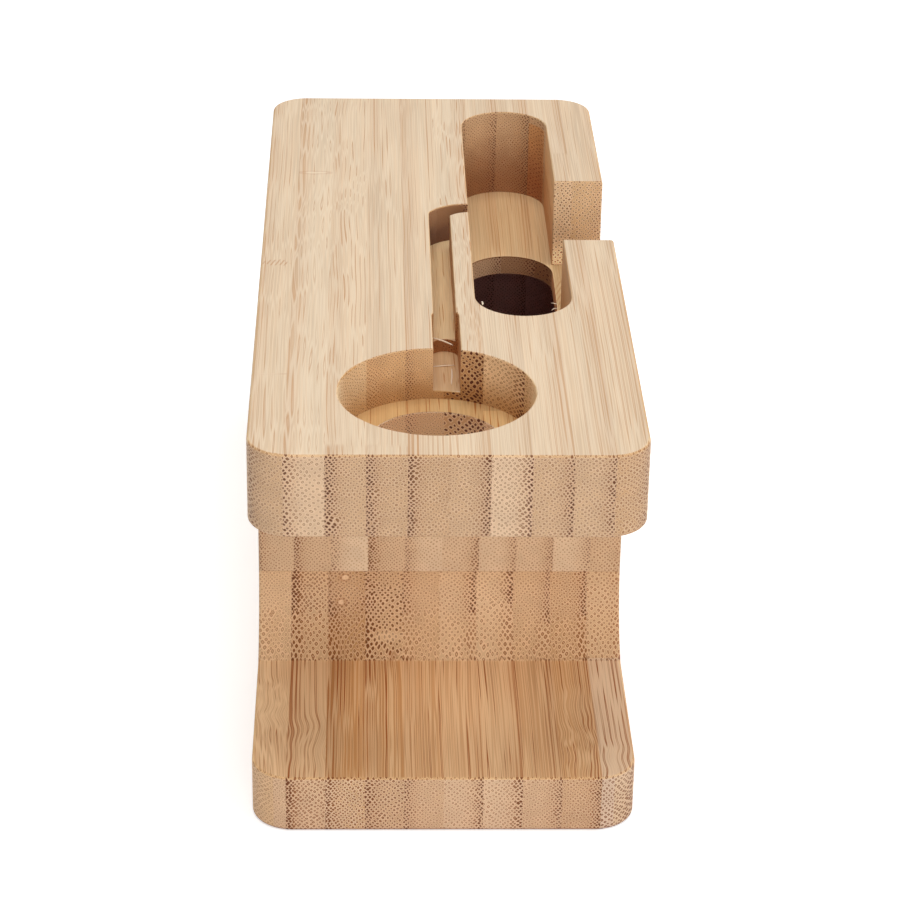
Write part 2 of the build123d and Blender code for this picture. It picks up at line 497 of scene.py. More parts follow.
class CutShadingAndScorchEffect(Effect):
    """Painted shade and painted light inside a cut, partly also the cutter's scorch, as one colour that
    multiplies the wood's.
    """

    NAME = "cut_shading_and_scorch"
    INPUTS = sockets(vector="Position, Middle, Half", number="Wall, Round, Rim height, Foot height",
                     colour="Rim tint, Foot tint, Floor tint")
    OUTPUTS = sockets(colour="Tint")
    CLOUD_GRAIN = (0.5, 0.5, 0.9)
    CLOUD_RISE = 1.6

    def build(self) -> dict[str, Socket]:
        """White outside a box or a cylinder, and inside it the floor's tint or the wall's, by cloudy height.

        Returns:
            The colour that multiplies the wood's.
        """
        position = self["Position"]
        away = self.vector("DIVIDE", self.vector("SUBTRACT", position, self["Middle"]), self["Half"])
        x, y, z = self.split(self.vector("ABSOLUTE", away))
        boxed = self.times(self.larger(x, y), self.minus(1.0, self["Round"]))
        ringed = self.times(self.vector("LENGTH", self.join(x, y, 0.0)), self["Round"])
        reach = self.plus(ringed, boxed)
        inside = self.times(self.math("LESS_THAN", reach, 1.0), self.math("LESS_THAN", z, 1.0))
        cloud = self.noise(self.stretched(position, self.CLOUD_GRAIN), 2.0)
        height = self.plus(self.split(position)[2], self.between(cloud, -self.CLOUD_RISE, self.CLOUD_RISE))
        depth = self.smooth(height, self["Rim height"], self["Foot height"])
        wall = self.mix(depth, self["Rim tint"], self["Foot tint"])
        return {"Tint": self.mix(inside, WHITE, self.mix(self["Wall"], self["Floor tint"], wall))}


class Dense(Enum):
    """The side of a stave that was the outside of the culm, where the bundles crowd."""

    LEFT = 1.0
    RIGHT = -1.0


@dataclass(frozen=True)
class Knot:
    """Where a node ring of the culm turns a stave's bundles aside; a paleness below 0 darkens."""

    place: Triple
    reach: Triple = (5.0, 9.0, 8.0)
    turn: float = 6.0
    paleness: float = 0.5


@dataclass(frozen=True)
class Scar:
    """A dash across the grain, or with ticks at 1 a row of short slanted ones."""

    place: Triple
    reach: Triple = (2.6, 0.45, 2.0)
    ticks: float = 0.0


@dataclass(frozen=True)
class Timber:
    """The colours of one board, on long grain and on end grain.

    Pale and brown are the palest and the brownest pith, and sheath is the light edge of a bundle. Fibre is
    its dark ring, which on end grain turns into the ring tone away from the dense side. Low is where the
    height of the bundles' lattice is counted from.
    """

    long_pale: Colour
    long_brown: Colour
    end_pale: Colour
    end_brown: Colour
    long_sheath: Colour
    end_sheath: Colour
    long_fibre: Colour
    end_fibre: Colour
    end_ring: Colour
    low: float


@dataclass(frozen=True)
class Coarse:
    """Other bundles in one part of a stave: from behind to before along Y, and above to below in height.

    Spacing, ring, hollow, open and solid are as in StaveFinish. The lower limit is sharp and the upper one
    ragged.
    """

    spacing: float
    ring: float
    hollow: float
    open: float = 0.0
    solid: float = 0.0
    before: float = 200.0
    above: float = -200.0
    below: float = 200.0
    behind: float = -200.0


@dataclass(frozen=True)
class StaveFinish:
    """How one stave looks.

    Each tone runs from 0, its board's palest, to 1, its brownest. Spacing and ring are the distance and the
    radius of the bundles, hollow is how pale they are inside, boldness is how dark they are on long grain and
    on end grain, wander is how far they stray, and lean is how far they slant across and up for each
    millimetre along the stave. Lightness is the strength of their sheaths, solid gives all of them the dense
    side's dark, and open is how little the dense side differs from the rest. Coarse is a part with other
    bundles.
    """

    tone: float
    end_tone: float
    dense: Dense = Dense.LEFT
    spacing: float = 0.56
    ring: float = 0.17
    hollow: float = 0.7
    boldness: Pair = (0.9, 0.95)
    wander: float = 0.8
    lean: Pair = (0.0, 0.010)
    lightness: float = 0.6
    solid: float = 0.0
    knots: tuple[Knot, ...] = ()
    scars: tuple[Scar, ...] = ()
    open: float = 0.0
    coarse: Coarse | None = None


LEFT, RIGHT = Dense.LEFT, Dense.RIGHT
TOP_TIMBER = Timber(
    long_pale=paint(233, 209, 178), long_brown=paint(213, 177, 138),
    end_pale=paint(214, 181, 148), end_brown=paint(186, 145, 105),
    long_sheath=paint(244, 224, 196), end_sheath=paint(234, 206, 174),
    long_fibre=paint(194, 140, 96), end_fibre=paint(92, 48, 26), end_ring=paint(138, 90, 54), low=63.5,
)
MIDDLE_TIMBER = Timber(
    long_pale=paint(233, 208, 177), long_brown=paint(212, 172, 130),
    end_pale=paint(220, 192, 160), end_brown=paint(192, 150, 110),
    long_sheath=paint(244, 222, 192), end_sheath=paint(234, 204, 168),
    long_fibre=paint(190, 136, 88), end_fibre=paint(112, 62, 30), end_ring=paint(148, 96, 54), low=33.0,
)
BASE_TIMBER = Timber(
    long_pale=paint(226, 186, 143), long_brown=paint(199, 143, 89),
    end_pale=paint(213, 177, 138), end_brown=paint(183, 135, 88),
    long_sheath=paint(246, 210, 164), end_sheath=paint(238, 200, 158),
    long_fibre=paint(156, 84, 30), end_fibre=paint(108, 58, 26), end_ring=paint(144, 86, 42), low=9.35,
)
NEAR_DOTS = Coarse(0.54, 0.155, 0.7, before=-70.0, below=65.0)
COVE_RINGS = Coarse(0.68, 0.205, 1.0, 0.6, above=9.6, below=15.0)
TOP_STAVES = {
    "left_5": StaveFinish(0.30, 0.68, LEFT, 0.56, 0.16, 0.7, (0.75, 0.9), 0.9, (0.004, 0.016),
                          scars=(Scar((-26.5, -4.4, 63.5), (2.6, 1.5, 2.0), 1.0),
                                 Scar((-26.6, -46.3, 63.5), (2.8, 0.16, 2.0)))),
    "left_4": StaveFinish(0.12, 0.14, LEFT, 0.70, 0.20, 1.0, (0.6, 0.9), 1.6, (0.0, 0.040),
                          scars=(Scar((-20.9, 35.3, 63.5), (2.4, 0.55, 2.0)),)),
    "left_3": StaveFinish(0.22, 0.70, LEFT, 0.46, 0.125, 0.6, (0.95, 1.1), 1.6, (0.004, 0.022), open=0.6,
                          coarse=NEAR_DOTS),
    "left_2": StaveFinish(0.24, 0.78, LEFT, 0.44, 0.120, 0.6, (1.0, 1.1), 0.6, (0.002, 0.005), open=0.6,
                          coarse=NEAR_DOTS),
    "left_1_front": StaveFinish(0.28, 0.90, LEFT, 0.52, 0.165, 0.7, (0.95, 1.0), 0.5, (0.0, 0.005)),
    "left_1_rear": StaveFinish(0.26, 0.75, LEFT, 0.44, 0.115, 0.5, (0.95, 0.85), 0.5, (0.0, 0.005)),
    "right_1_front": StaveFinish(0.24, 0.74, RIGHT, 0.55, 0.165, 0.7, (0.85, 1.0), 0.6, (0.0, 0.006)),
    "right_1_rear": StaveFinish(0.16, 1.10, RIGHT, 0.46, 0.13, 0.3, (1.1, 1.1), 1.4, (0.0, 0.030),
                                coarse=Coarse(0.74, 0.215, 0.0, 0.0, 1.0, before=-34.0)),
    "right_2_front": StaveFinish(0.20, 0.08, RIGHT, 0.60, 0.19, 1.0, (0.72, 1.0), 0.5, (0.002, 0.005)),
    "right_2_rear": StaveFinish(0.33, 0.55, RIGHT, 0.46, 0.13, 0.3, (0.8, 0.85), 0.5, (0.0, 0.005)),
    "right_3_front": StaveFinish(0.28, 0.68, RIGHT, 0.55, 0.165, 0.7, (0.62, 1.0), 0.5, (0.002, 0.006)),
    "right_3_rear": StaveFinish(0.40, 0.60, RIGHT, 0.46, 0.13, 0.3, (0.8, 0.85), 0.5, (0.0, 0.006)),
    "right_4": StaveFinish(0.37, 0.62, RIGHT, 0.55, 0.165, 0.7, (0.62, 1.0), 0.5, (0.003, 0.006),
                           scars=(Scar((21.6, 17.0, 47.8), (1.2, 11.0, 0.5), 1.0),),
                           coarse=Coarse(0.66, 0.165, 0.3, 0.6, 0.6, before=45.0, behind=24.0)),
    "right_5": StaveFinish(0.38, 0.94, RIGHT, 0.55, 0.17, 0.6, (0.6, 1.05), 0.5, (0.003, 0.006),
                           coarse=Coarse(0.60, 0.150, 0.3, 0.4, 0.4, behind=24.0)),
}
MIDDLE_STAVES = {
    "left_5": StaveFinish(0.40, 0.60, LEFT, 0.50, 0.145, 0.6),
    "left_4": StaveFinish(0.40, 0.60, LEFT, 0.50, 0.15, 0.6, (0.9, 1.0)),
    "left_3": StaveFinish(0.10, 0.00, LEFT, 0.52, 0.14, 0.8, (0.7, 0.75)),
    "left_2": StaveFinish(0.50, 0.55, LEFT, 0.48, 0.15, 0.5, (1.0, 1.0), 2.0),
    "left_1": StaveFinish(0.20, 0.20, LEFT, 0.50, 0.14, 0.6, (0.8, 0.85)),
    "right_1": StaveFinish(0.30, 0.40, RIGHT, 0.52, 0.15, 0.6),
    "right_2": StaveFinish(0.20, 0.32, RIGHT, 0.54, 0.15, 0.8, (0.8, 0.85)),
    "right_3": StaveFinish(0.35, 0.50, RIGHT, 0.50, 0.145, 0.5),
    "right_4": StaveFinish(0.20, 0.30, RIGHT, 0.50, 0.135, 0.6, (0.8, 0.85)),
    "right_5": StaveFinish(0.45, 0.75, RIGHT, 0.50, 0.155, 0.5, (1.0, 1.05)),
}
BASE_STAVES = {
    "left_5": StaveFinish(0.24, 0.36, LEFT, 0.55, 0.16, 0.8, (0.9, 0.62), 1.2, (0.04, 0.016), 0.8, open=0.8,
                          knots=(Knot((-26.3, -52.0, 9.35), (5.0, 9.0, 6.0), 4.0, 0.5),), coarse=COVE_RINGS),
    "left_4": StaveFinish(0.22, 0.42, LEFT, 0.55, 0.195, 0.8, (1.3, 1.3), 1.0, (0.0, 0.008), solid=0.3,
                          knots=(Knot((-20.3, -63.5, 9.35), (6.0, 12.0, 6.0), 2.2, 0.2),),
                          coarse=Coarse(0.70, 0.215, 0.9, 0.3, above=9.6, below=15.0)),
    "left_3": StaveFinish(1.05, 1.0, LEFT, 0.52, 0.17, 0.4, (1.2, 1.3), 1.0, (0.0, 0.006), 0.65,
                          knots=(Knot((-15.5, -30.5, 18.5), (4.5, 6.0, 5.5), 4.0, 0.3),),
                          scars=(Scar((-15.2, -31.0, 20.1), (0.7, 3.0, 0.5)),
                                 Scar((-15.8, -31.0, 16.2), (0.7, 3.0, 0.5))),
                          solid=0.5, coarse=Coarse(0.62, 0.20, 0.8, 0.4, 0.3, above=9.6, below=14.5)),
    "left_2": StaveFinish(0.92, 0.62, LEFT, 0.56, 0.17, 0.5, (1.25, 1.2), 1.0, (0.0, 0.006), 0.75,
                          knots=(Knot((-8.0, -35.6, 11.8), (3.4, 2.6, 0.9), 1.0, 0.55),
                                 Knot((-7.6, -39.8, 10.2), (1.5, 3.2, 1.1), 1.0, -0.9)),
                          solid=0.6, coarse=Coarse(0.62, 0.20, 0.35, 0.2, 0.7, above=9.6, below=18.0)),
    "left_1": StaveFinish(0.70, 0.50, LEFT, 0.54, 0.155, 0.7, (1.2, 0.95), 0.6, (0.0, 0.004), 0.75,
                          coarse=COVE_RINGS),
    "right_1": StaveFinish(0.48, 0.20, RIGHT, 0.54, 0.165, 0.8, (1.2, 1.0), 0.6, (0.0, 0.004), 0.75,
                           coarse=Coarse(0.64, 0.195, 0.9, 0.5, above=9.6, below=14.5)),
    "right_2": StaveFinish(0.34, 0.12, RIGHT, 0.56, 0.18, 0.9, (1.15, 1.0), 0.6, (0.0, 0.004), 0.75,
                           coarse=Coarse(0.68, 0.205, 1.0, 0.45, above=9.6, below=16.5)),
    "right_3": StaveFinish(0.58, 0.46, RIGHT, 0.50, 0.15, 0.7, (1.2, 0.95), 0.6, (0.0, 0.006), 0.75,
                           coarse=Coarse(0.62, 0.19, 0.9, 0.6, above=9.6, below=13.5)),
    "right_4": StaveFinish(0.84, 0.72, RIGHT, 0.50, 0.155, 0.7, (1.15, 1.1), 0.8, (0.0, 0.008),
                           lightness=0.75,
                           knots=(Knot((20.7, -64.0, 9.35), (4.4, 10.0, 5.0), 3.4, 0.12),
                                  Knot((20.9, -51.5, 9.35), (3.4, 6.5, 5.0), 1.5, 0.35)),
                           coarse=Coarse(0.64, 0.205, 0.9, 0.4, above=9.6, below=14.5)),
    "right_5": StaveFinish(0.08, 0.36, RIGHT, 0.56, 0.195, 0.6, (1.15, 1.2), 0.8, (0.0, 0.010), solid=0.5,
                           knots=(Knot((26.3, -69.0, 9.35), (4.5, 8.0, 4.0), 2.8, 0.2),),
                           coarse=Coarse(0.62, 0.185, 0.9, 0.6, above=9.6, below=40.0)),
}


class Shape(Enum):
    """Outlines of a cut, seen from above."""

    BOX = 0.0
    ROUND = 1.0


NO_TINT: Triple = (1.0, 1.0, 1.0)


@dataclass(frozen=True)
class CutTint:
    """How one cut is tinted: its middle and half sizes, and what multiplies the wood's colour there. Mostly
    this is painted shade that deepens towards the foot and painted light that lifts shade, partly the
    cutter's scorch, and in a few boxes a stave's own tone.

    Walls have the rim's tint above the first of the heights and the foot's below the second, or the rim's
    throughout where the foot has none. Floor is for surfaces that face up or down.
    """

    middle: Triple
    half: Triple
    rim: Triple = NO_TINT
    foot: Triple | None = None
    floor: Triple = NO_TINT
    heights: Pair = (61.5, 49.5)
    shape: Shape = Shape.BOX


# Tints below 1 darken and above 1 lighten. Most are painted shade in the cuts, deepening towards their feet,
# and painted light where their shade is lifted; the browning is partly the cutter's scorch, and the foot_face
# boxes and foot_right_5 change the base board's tone.
CUTS = {
    # Recess: painted shade deepening down the wall and on the ledge, partly scorch, with the upper wall
    # painted lighter.
    "recess": CutTint((-1.43, -51.84, 59.2), (14.95, 14.95, 4.18), (1.16, 1.11, 0.94), (0.92, 0.79, 0.56),
                      (0.84, 0.68, 0.43), (61.0, 55.5), Shape.ROUND),
    "recess_by_mouth": CutTint((3.0, -40.0, 59.2), (2.97, 6.0, 4.18), (0.86, 0.80, 0.74)),
    # Painted light on the left part of the recess.
    "recess_left": CutTint((-14.1, -51.84, 59.2), (2.27, 13.0, 4.18), (1.08, 1.18, 1.30), (1.07, 1.16, 1.27),
                           heights=(61.0, 55.5)),
    # Painted light lifting the shade on the ledge's right end.
    "ledge_right": CutTint((8.925, -51.84, 55.1), (2.965, 10.5, 0.5), floor=(1.22, 1.24, 1.26)),
    "push_hole": CutTint((-1.43, -51.84, 52.6), (10.3, 10.3, 2.4), (1.18, 1.09, 0.97), (1.08, 1.00, 0.87),
                         heights=(54.0, 50.5), shape=Shape.ROUND),
    # Mouth, lead channel and its turn: painted shade deepening towards the foot of the walls, partly scorch.
    "mouth": CutTint((0.51, -29.8, 59.85), (2.3, 7.3, 3.55), (0.82, 0.59, 0.39), (0.69, 0.44, 0.26),
                     (0.86, 0.72, 0.54), (62.5, 57.0)),
    "lead_channel": CutTint((0.35, -3.7, 60.2), (2.0, 18.8, 3.2), (0.80, 0.60, 0.42), (0.66, 0.44, 0.28),
                            (0.98, 0.92, 0.72), (62.5, 57.5)),
    "lead_turn": CutTint((1.8, 19.95, 60.2), (3.4, 4.85, 3.2), (0.62, 0.48, 0.38), (0.31, 0.21, 0.18),
                         (1.0, 0.91, 0.72), (62.0, 58.0)),
    # Pocket: painted shade deepening towards the foot of its walls, partly scorch, less deep in its near
    # half.
    "pocket_near": CutTint((12.93, -5.0, 55.5), (7.8, 19.9, 7.9), (1.02, 0.92, 0.80), (0.72, 0.56, 0.40),
                           (1.0, 0.90, 0.71)),
    "pocket_far": CutTint((12.93, 40.45, 55.5), (7.8, 25.55, 7.9), (1.02, 1.0, 0.92), (0.62, 0.45, 0.33),
                          (0.97, 0.89, 0.70)),
    # Painted light bounced from the notch onto the pocket's right wall.
    "pocket_right_wall": CutTint((20.6, 45.0, 55.5), (0.6, 13.2, 7.9), (1.20, 1.09, 0.95)),
    # Painted shade in the pocket's far right corner.
    "pocket_far_right": CutTint((19.5, 63.5, 55.0), (1.72, 3.5, 7.0), (1.02, 0.82, 0.62), (1.0, 0.80, 0.70),
                                heights=(61.0, 49.5)),
    "plug_slot": CutTint((12.93, 20.6, 46.1), (7.8, 15.2, 1.55), (1.04, 1.0, 0.95), (1.0, 0.95, 0.90),
                         heights=(47.0, 44.8)),
    # Painted shade on the right side of the plug slot.
    "plug_slot_right_staves": CutTint((16.32, 20.6, 46.1), (4.43, 15.2, 1.55), (0.76, 0.68, 0.62)),
    "plug_slot_outer_stave": CutTint((19.25, 20.6, 46.1), (1.43, 15.2, 1.55), (0.72, 0.64, 0.60)),
    # Painted light lifting the shade on the slot's straight right wall.
    "plug_slot_right_wall": CutTint((20.62, 20.6, 46.1), (0.1, 8.5, 1.6), (2.2, 2.1, 2.0), (1.8, 1.7, 1.6),
                                    heights=(47.0, 44.8)),
    # Painted light lifting the shade in the notch, most at the foot of its far wall.
    "notch": CutTint((24.9, 18.8, 55.5), (4.2, 13.1, 8.0), (1.39, 1.46, 1.45), (1.31, 1.28, 1.20)),
    "notch_far_wall": CutTint((24.9, 31.7, 51.0), (4.35, 0.4, 3.1), foot=(1.65, 1.95, 2.15),
                              heights=(53.5, 49.0)),
    "notch_floor": CutTint((24.9, 18.8, 47.8), (4.2, 13.1, 0.4), floor=(0.75, 0.66, 0.49)),
    "foot_face": CutTint((0.0, -73.0, 4.6), (29.4, 0.6, 4.9), (0.98, 1.0, 1.09), (0.97, 0.98, 1.08),
                         heights=(9.0, 0.5)),
    "foot_face_left_3": CutTint((-14.9, -73.0, 4.6), (2.95, 0.6, 4.9), (1.17, 1.28, 1.40),
                                (1.15, 1.26, 1.38), heights=(9.0, 0.5)),
    "foot_right_5": CutTint((26.6, -45.0, 4.7), (2.93, 28.6, 4.9), (0.97, 1.05, 1.21),
                            floor=(0.96, 1.02, 1.17)),
    # Painted shade darkening the hidden chamber's walls and floor.
    "chamber": CutTint((12.93, 35.0, 22.0), (10.3, 32.0, 22.4), (0.72, 0.55, 0.78), floor=(0.7, 0.55, 0.7)),
}


@dataclass(frozen=True)
class Overlays:
    """What is laid over the wood's looks apart from the tints of single cuts: dark glue at the board joints,
    bolder grain on the ledge, a painted highlight along the eased rims and a painted contact shadow along the
    sole.

    A pair goes from where a change begins to where it is whole: along the height, in the distance from a
    joint or a level, or in how far a surface faces up, from 0 to 1.
    """

    glue: Pair = (0.14, 0.02)
    glue_share: float = 0.3
    glue_tint: Colour = (0.62, 0.50, 0.40, 1.0)
    off_upright: Pair = (0.30, 0.60)
    off_level: Pair = (0.995, 0.93)
    top_rim: Pair = (62.9, 63.0)
    foot_rim: float = 9.1
    foot_rim_reach: float = 0.3
    # Painted highlight along the eased rims.
    rim_highlight_tint: Colour = (1.05, 1.0, 0.87, 1.0)
    # Painted contact shadow along the sole.
    contact_shadow_heights: Pair = (0.6, 0.2)
    contact_shadow_tint: Colour = (0.62, 0.56, 0.62, 1.0)
    wall: Pair = (0.7, 0.3)
    cut_margin: float = 0.5
    ledge: float = 55.05
    ledge_reach: Pair = (0.5, 0.3)
    ledge_boldness: float = 3.2


@dataclass
class Block:
    """The laminated block: dresses every stave of its three boards."""

    boards: dict[str, tuple[Timber, dict[str, StaveFinish]]] = field(default_factory=lambda: {
        "top_board": (TOP_TIMBER, TOP_STAVES),
        "middle_board": (MIDDLE_TIMBER, MIDDLE_STAVES),
        "base_board": (BASE_TIMBER, BASE_STAVES),
    })
    levels: dict[str, Pair] = field(default_factory=lambda: {
        "top_board": (44.5, 63.5), "middle_board": (21.2, 44.5), "base_board": (0.0, 21.2),
    })
    cuts: dict[str, CutTint] = field(default_factory=lambda: CUTS)
    made: Overlays = Overlays()
    seed_step: float = 3.7
    end_grain: Pair = (0.06, 0.42)
    grain_depth: float = 0.05
    grain_relief: float = 0.5
    specular: float = 0.3
    coarse_edge: float = 0.15
    coarse_fade: float = 1.0
    ragged_grain: float = 0.45
    ragged_rise: float = 2.0
    open_share: float = 0.6

    def __post_init__(self) -> None:
        """Makes the effects that the staves share."""
        self.knot = KnotEffect()
        self.scar = ScarEffect()
        self.drift = DriftEffect()
        self.bundles = BundleEffect()
        self.wood = WoodColourEffect()
        self.cut_shading_and_scorch = CutShadingAndScorchEffect()
        low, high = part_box("top_board_stave_left_2")
        self.pitch = (high.x - low.x) / MM

    def finish_of(self, board: str, place: str) -> StaveFinish:
        """The finish of a stave, or of one length of it where the lengths differ."""
        staves = self.boards[board][1]
        return staves.get(place) or staves[place.removesuffix("_front").removesuffix("_rear")]

    def dense_joint(self, node: str, dense: Dense) -> float:
        """X of a stave's dense side.

        Args:
            node: the stave's name in the frame.
            dense: which side that is.
        Returns:
            The inner joint, or one pitch from it, which for an outer stave lies outside the block.
        """
        low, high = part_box(node)
        if "_left_" in node:
            inner, outer = high.x / MM, high.x / MM - self.pitch
            return outer if dense is LEFT else inner
        inner, outer = low.x / MM, low.x / MM + self.pitch
        return inner if dense is LEFT else outer

    def coarse_share(self, graph: Graph, coarse: Coarse, position: Socket) -> Socket:
        """1 in the part of a stave that has other bundles.

        Args:
            graph: the material's graph.
            coarse: those bundles, and where they are.
            position: place in millimetres, already turned aside by the knots.
        Returns:
            The mask, with a ragged upper limit.
        """
        _, y, z = graph.split(position)
        rise = graph.between(graph.noise(graph.scaled(position, self.ragged_grain), 1.0),
                             -self.ragged_rise, self.ragged_rise)
        edge, fade = self.coarse_edge, self.coarse_fade
        return graph.times(
            graph.smooth(z, coarse.above - edge, coarse.above + edge),
            graph.smooth(graph.plus(z, rise), coarse.below + edge, coarse.below - edge),
            graph.smooth(y, coarse.before + fade, coarse.before - fade),
            graph.smooth(y, coarse.behind - fade, coarse.behind + fade),
        )

    def bundles_of(self, graph: Graph, node: str, finish: StaveFinish, position: Socket,
                   seed: float) -> dict[str, Socket]:
        """A stave's bundles, with others in the part that has them.

        Args:
            graph: the material's graph.
            node: the stave's name in the frame.
            finish: how the stave looks.
            position: place in millimetres, already turned aside by the knots.
            seed: moves the pattern.
        Returns:
            Core, Streak, Halo and Middle of the bundles, Across, the share of the pitch from the dense side,
            and Solid, which is 1 where all bundles are dark.
        """
        lean_across, lean_up = finish.lean
        drifted = self.drift.use(graph, Position=position, Lean_across=lean_across, Lean_up=lean_up,
                                 Wander=finish.wander, Seed=seed)["Position"]
        timber = self.boards[node.split("_stave_")[0]][0]
        lowered = graph.vector("SUBTRACT", drifted, (0.0, 0.0, timber.low))
        from_joint = graph.minus(graph.split(lowered)[0], self.dense_joint(node, finish.dense))
        across = graph.times(from_joint, finish.dense.value / self.pitch)
        shared = {"Position": lowered, "Across": across, "Pitch": self.pitch, "Seed": seed}
        bundles, other = (
            self.bundles.use(graph, Spacing=kind.spacing, Ring=kind.ring, Hollow=kind.hollow, Open=kind.open,
                             **shared) if kind else {}
            for kind in (finish, finish.coarse)
        )
        solid, least = finish.solid, finish.open
        if finish.coarse:
            share = self.coarse_share(graph, finish.coarse, position)
            bundles = {name: graph.lerp(share, bundles[name], other[name]) for name in bundles}
            solid = graph.lerp(share, solid, finish.coarse.solid)
            least = graph.lerp(share, least, finish.coarse.open)
        across = graph.larger(across, graph.times(least, self.open_share))
        return {**bundles, "Across": across, "Solid": solid}

    def marked(self, graph: Graph, finish: StaveFinish,
               place: Socket) -> tuple[Socket, Socket | float, Socket | float]:
        """What a stave's knots and scars do.

        Args:
            graph: the material's graph.
            finish: how the stave looks.
            place: place in millimetres.
        Returns:
            The place turned aside by the knots, and how far to go towards the pale and the dark colour.
        """
        position, pale, dark = place, 0.0, 0.0
        for knot in finish.knots:
            turned = self.knot.use(graph, Position=position, Place=knot.place, Reach=knot.reach,
                                   Turn=knot.turn)
            position = turned["Position"]
            pale = graph.plus(pale, graph.times(turned["Mask"], max(knot.paleness, 0.0)))
            dark = graph.plus(dark, graph.times(turned["Mask"], max(-knot.paleness, 0.0)))
        for scar in finish.scars:
            cut = self.scar.use(graph, Position=place, Place=scar.place, Reach=scar.reach, Ticks=scar.ticks)
            pale, dark = graph.plus(pale, cut["Pale"]), graph.plus(dark, cut["Dark"])
        return position, pale, dark

    def material(self, node: str, seed: float) -> bpy.types.Material:
        """The wood of one stave.

        Args:
            node: the stave's name in the frame.
            seed: moves its pattern, so that no two staves are alike.
        Returns:
            A material that reads the object's own coordinates.
        """
        board, place = node.split("_stave_")
        timber, finish = self.boards[board][0], self.finish_of(board, place)
        material, graph = new_material(f"bamboo_{node}")
        coordinates = graph.add("ShaderNodeTexCoord").outputs
        place_mm = graph.scaled(coordinates["Object"], 1 / MM)
        _, along, upward = graph.split(graph.vector("ABSOLUTE", coordinates["Normal"]))
        position, pale, dark = self.marked(graph, finish, place_mm)
        long_boldness, end_boldness = finish.boldness
        if board == "top_board":
            off_ledge = graph.away(graph.split(place_mm)[2], self.made.ledge)
            on_ledge = graph.smooth(off_ledge, *self.made.ledge_reach)
            long_boldness = graph.lerp(on_ledge, long_boldness, long_boldness * self.made.ledge_boldness)
        wood = self.wood.use(
            graph, Position=position, End=graph.smooth(along, *self.end_grain), Pale=pale, Dark=dark,
            Seed=seed, Long_boldness=long_boldness, End_boldness=end_boldness, Lightness=finish.lightness,
            **self.bundles_of(graph, node, finish, position, seed),
            Long_pith=graph.mix(finish.tone, timber.long_pale, timber.long_brown),
            End_pith=graph.mix(finish.end_tone, timber.end_pale, timber.end_brown),
            Long_fibre=timber.long_fibre, End_fibre=timber.end_fibre, End_ring=timber.end_ring,
            Long_sheath=timber.long_sheath, End_sheath=timber.end_sheath,
        )
        bump = graph.add("ShaderNodeBump", {"Height": wood["Height"], "Strength": self.grain_relief,
                                            "Distance": self.grain_depth * MM})
        shader = graph.add("ShaderNodeBsdfPrincipled", {
            "Base Color": self.with_overlays(graph, board, wood["Color"], place_mm, upward),
            "Roughness": wood["Roughness"], "Normal": bump.outputs[0], "Specular IOR Level": self.specular,
        })
        graph.add("ShaderNodeOutputMaterial", {"Surface": shader.outputs[0]})
        return material

    def with_overlays(self, graph: Graph, board: str, colour: Socket, place: Socket, upward: Socket) -> Socket:
        """The wood's colour with the board joints' glue, a painted highlight on the eased rims, a painted
        contact shadow along the sole and the cuts' tints laid over it, which are mostly painted shade and
        painted light and partly the cutter's scorch.

        Args:
            graph: the material's graph.
            board: the stave's board.
            colour: the wood's colour.
            place: place in millimetres.
            upward: how far the surface faces up or down, from 0 to 1.
        Returns:
            The colour that goes to the shader.
        """
        made, height = self.made, graph.split(place)[2]
        for joint in self.levels["middle_board"]:
            near = graph.smooth(graph.away(height, joint), *made.glue)
            colour = graph.mix(graph.times(near, made.glue_share), colour, made.glue_tint, "MULTIPLY")
        # Painted highlight on the eased rims of the top and of the foot.
        rounded = graph.times(graph.smooth(upward, *made.off_upright), graph.smooth(upward, *made.off_level))
        by_foot = graph.math("LESS_THAN", graph.away(height, made.foot_rim), made.foot_rim_reach)
        at_rim_highlight = graph.times(rounded, graph.plus(graph.smooth(height, *made.top_rim), by_foot))
        colour = graph.mix(at_rim_highlight, colour, made.rim_highlight_tint, "MULTIPLY")
        # Painted contact shadow along the bottom edge.
        colour = graph.mix(graph.smooth(height, *made.contact_shadow_heights), colour, made.contact_shadow_tint, "MULTIPLY")
        wall = graph.smooth(upward, *made.wall)
        low, high = self.levels[board][0] + made.cut_margin, self.levels[board][1] - made.cut_margin
        # The cuts' tints: mostly painted shade and painted light, partly scorch.
        for cut in self.cuts.values():
            if cut.middle[2] + cut.half[2] < low or cut.middle[2] - cut.half[2] > high:
                continue
            tint = self.cut_shading_and_scorch.use(
                graph, Position=place, Wall=wall, Middle=cut.middle, Half=cut.half, Round=cut.shape.value,
                Rim_height=cut.heights[0], Foot_height=cut.heights[1], Rim_tint=(*cut.rim, 1.0),
                Foot_tint=(*(cut.foot or cut.rim), 1.0), Floor_tint=(*cut.floor, 1.0),
            )["Tint"]
            colour = graph.mix(1.0, colour, tint, "MULTIPLY")
        return colour

    def dress(self) -> None:
        """Gives every stave its own wood."""
        for number, (name, stave) in enumerate(sorted(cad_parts.items())):
            material = self.material(name, self.seed_step * number)
            for material_slot in stave.material_slots:
                material_slot.material = material
            log.info("dressed %s", name)


@dataclass(frozen=True)
class Fibre:
    """A torn fibre: a thin spike from its root past a bend to its tip, in millimetres."""

    root: Triple
    bend: Triple
    tip: Triple
    thickness: float


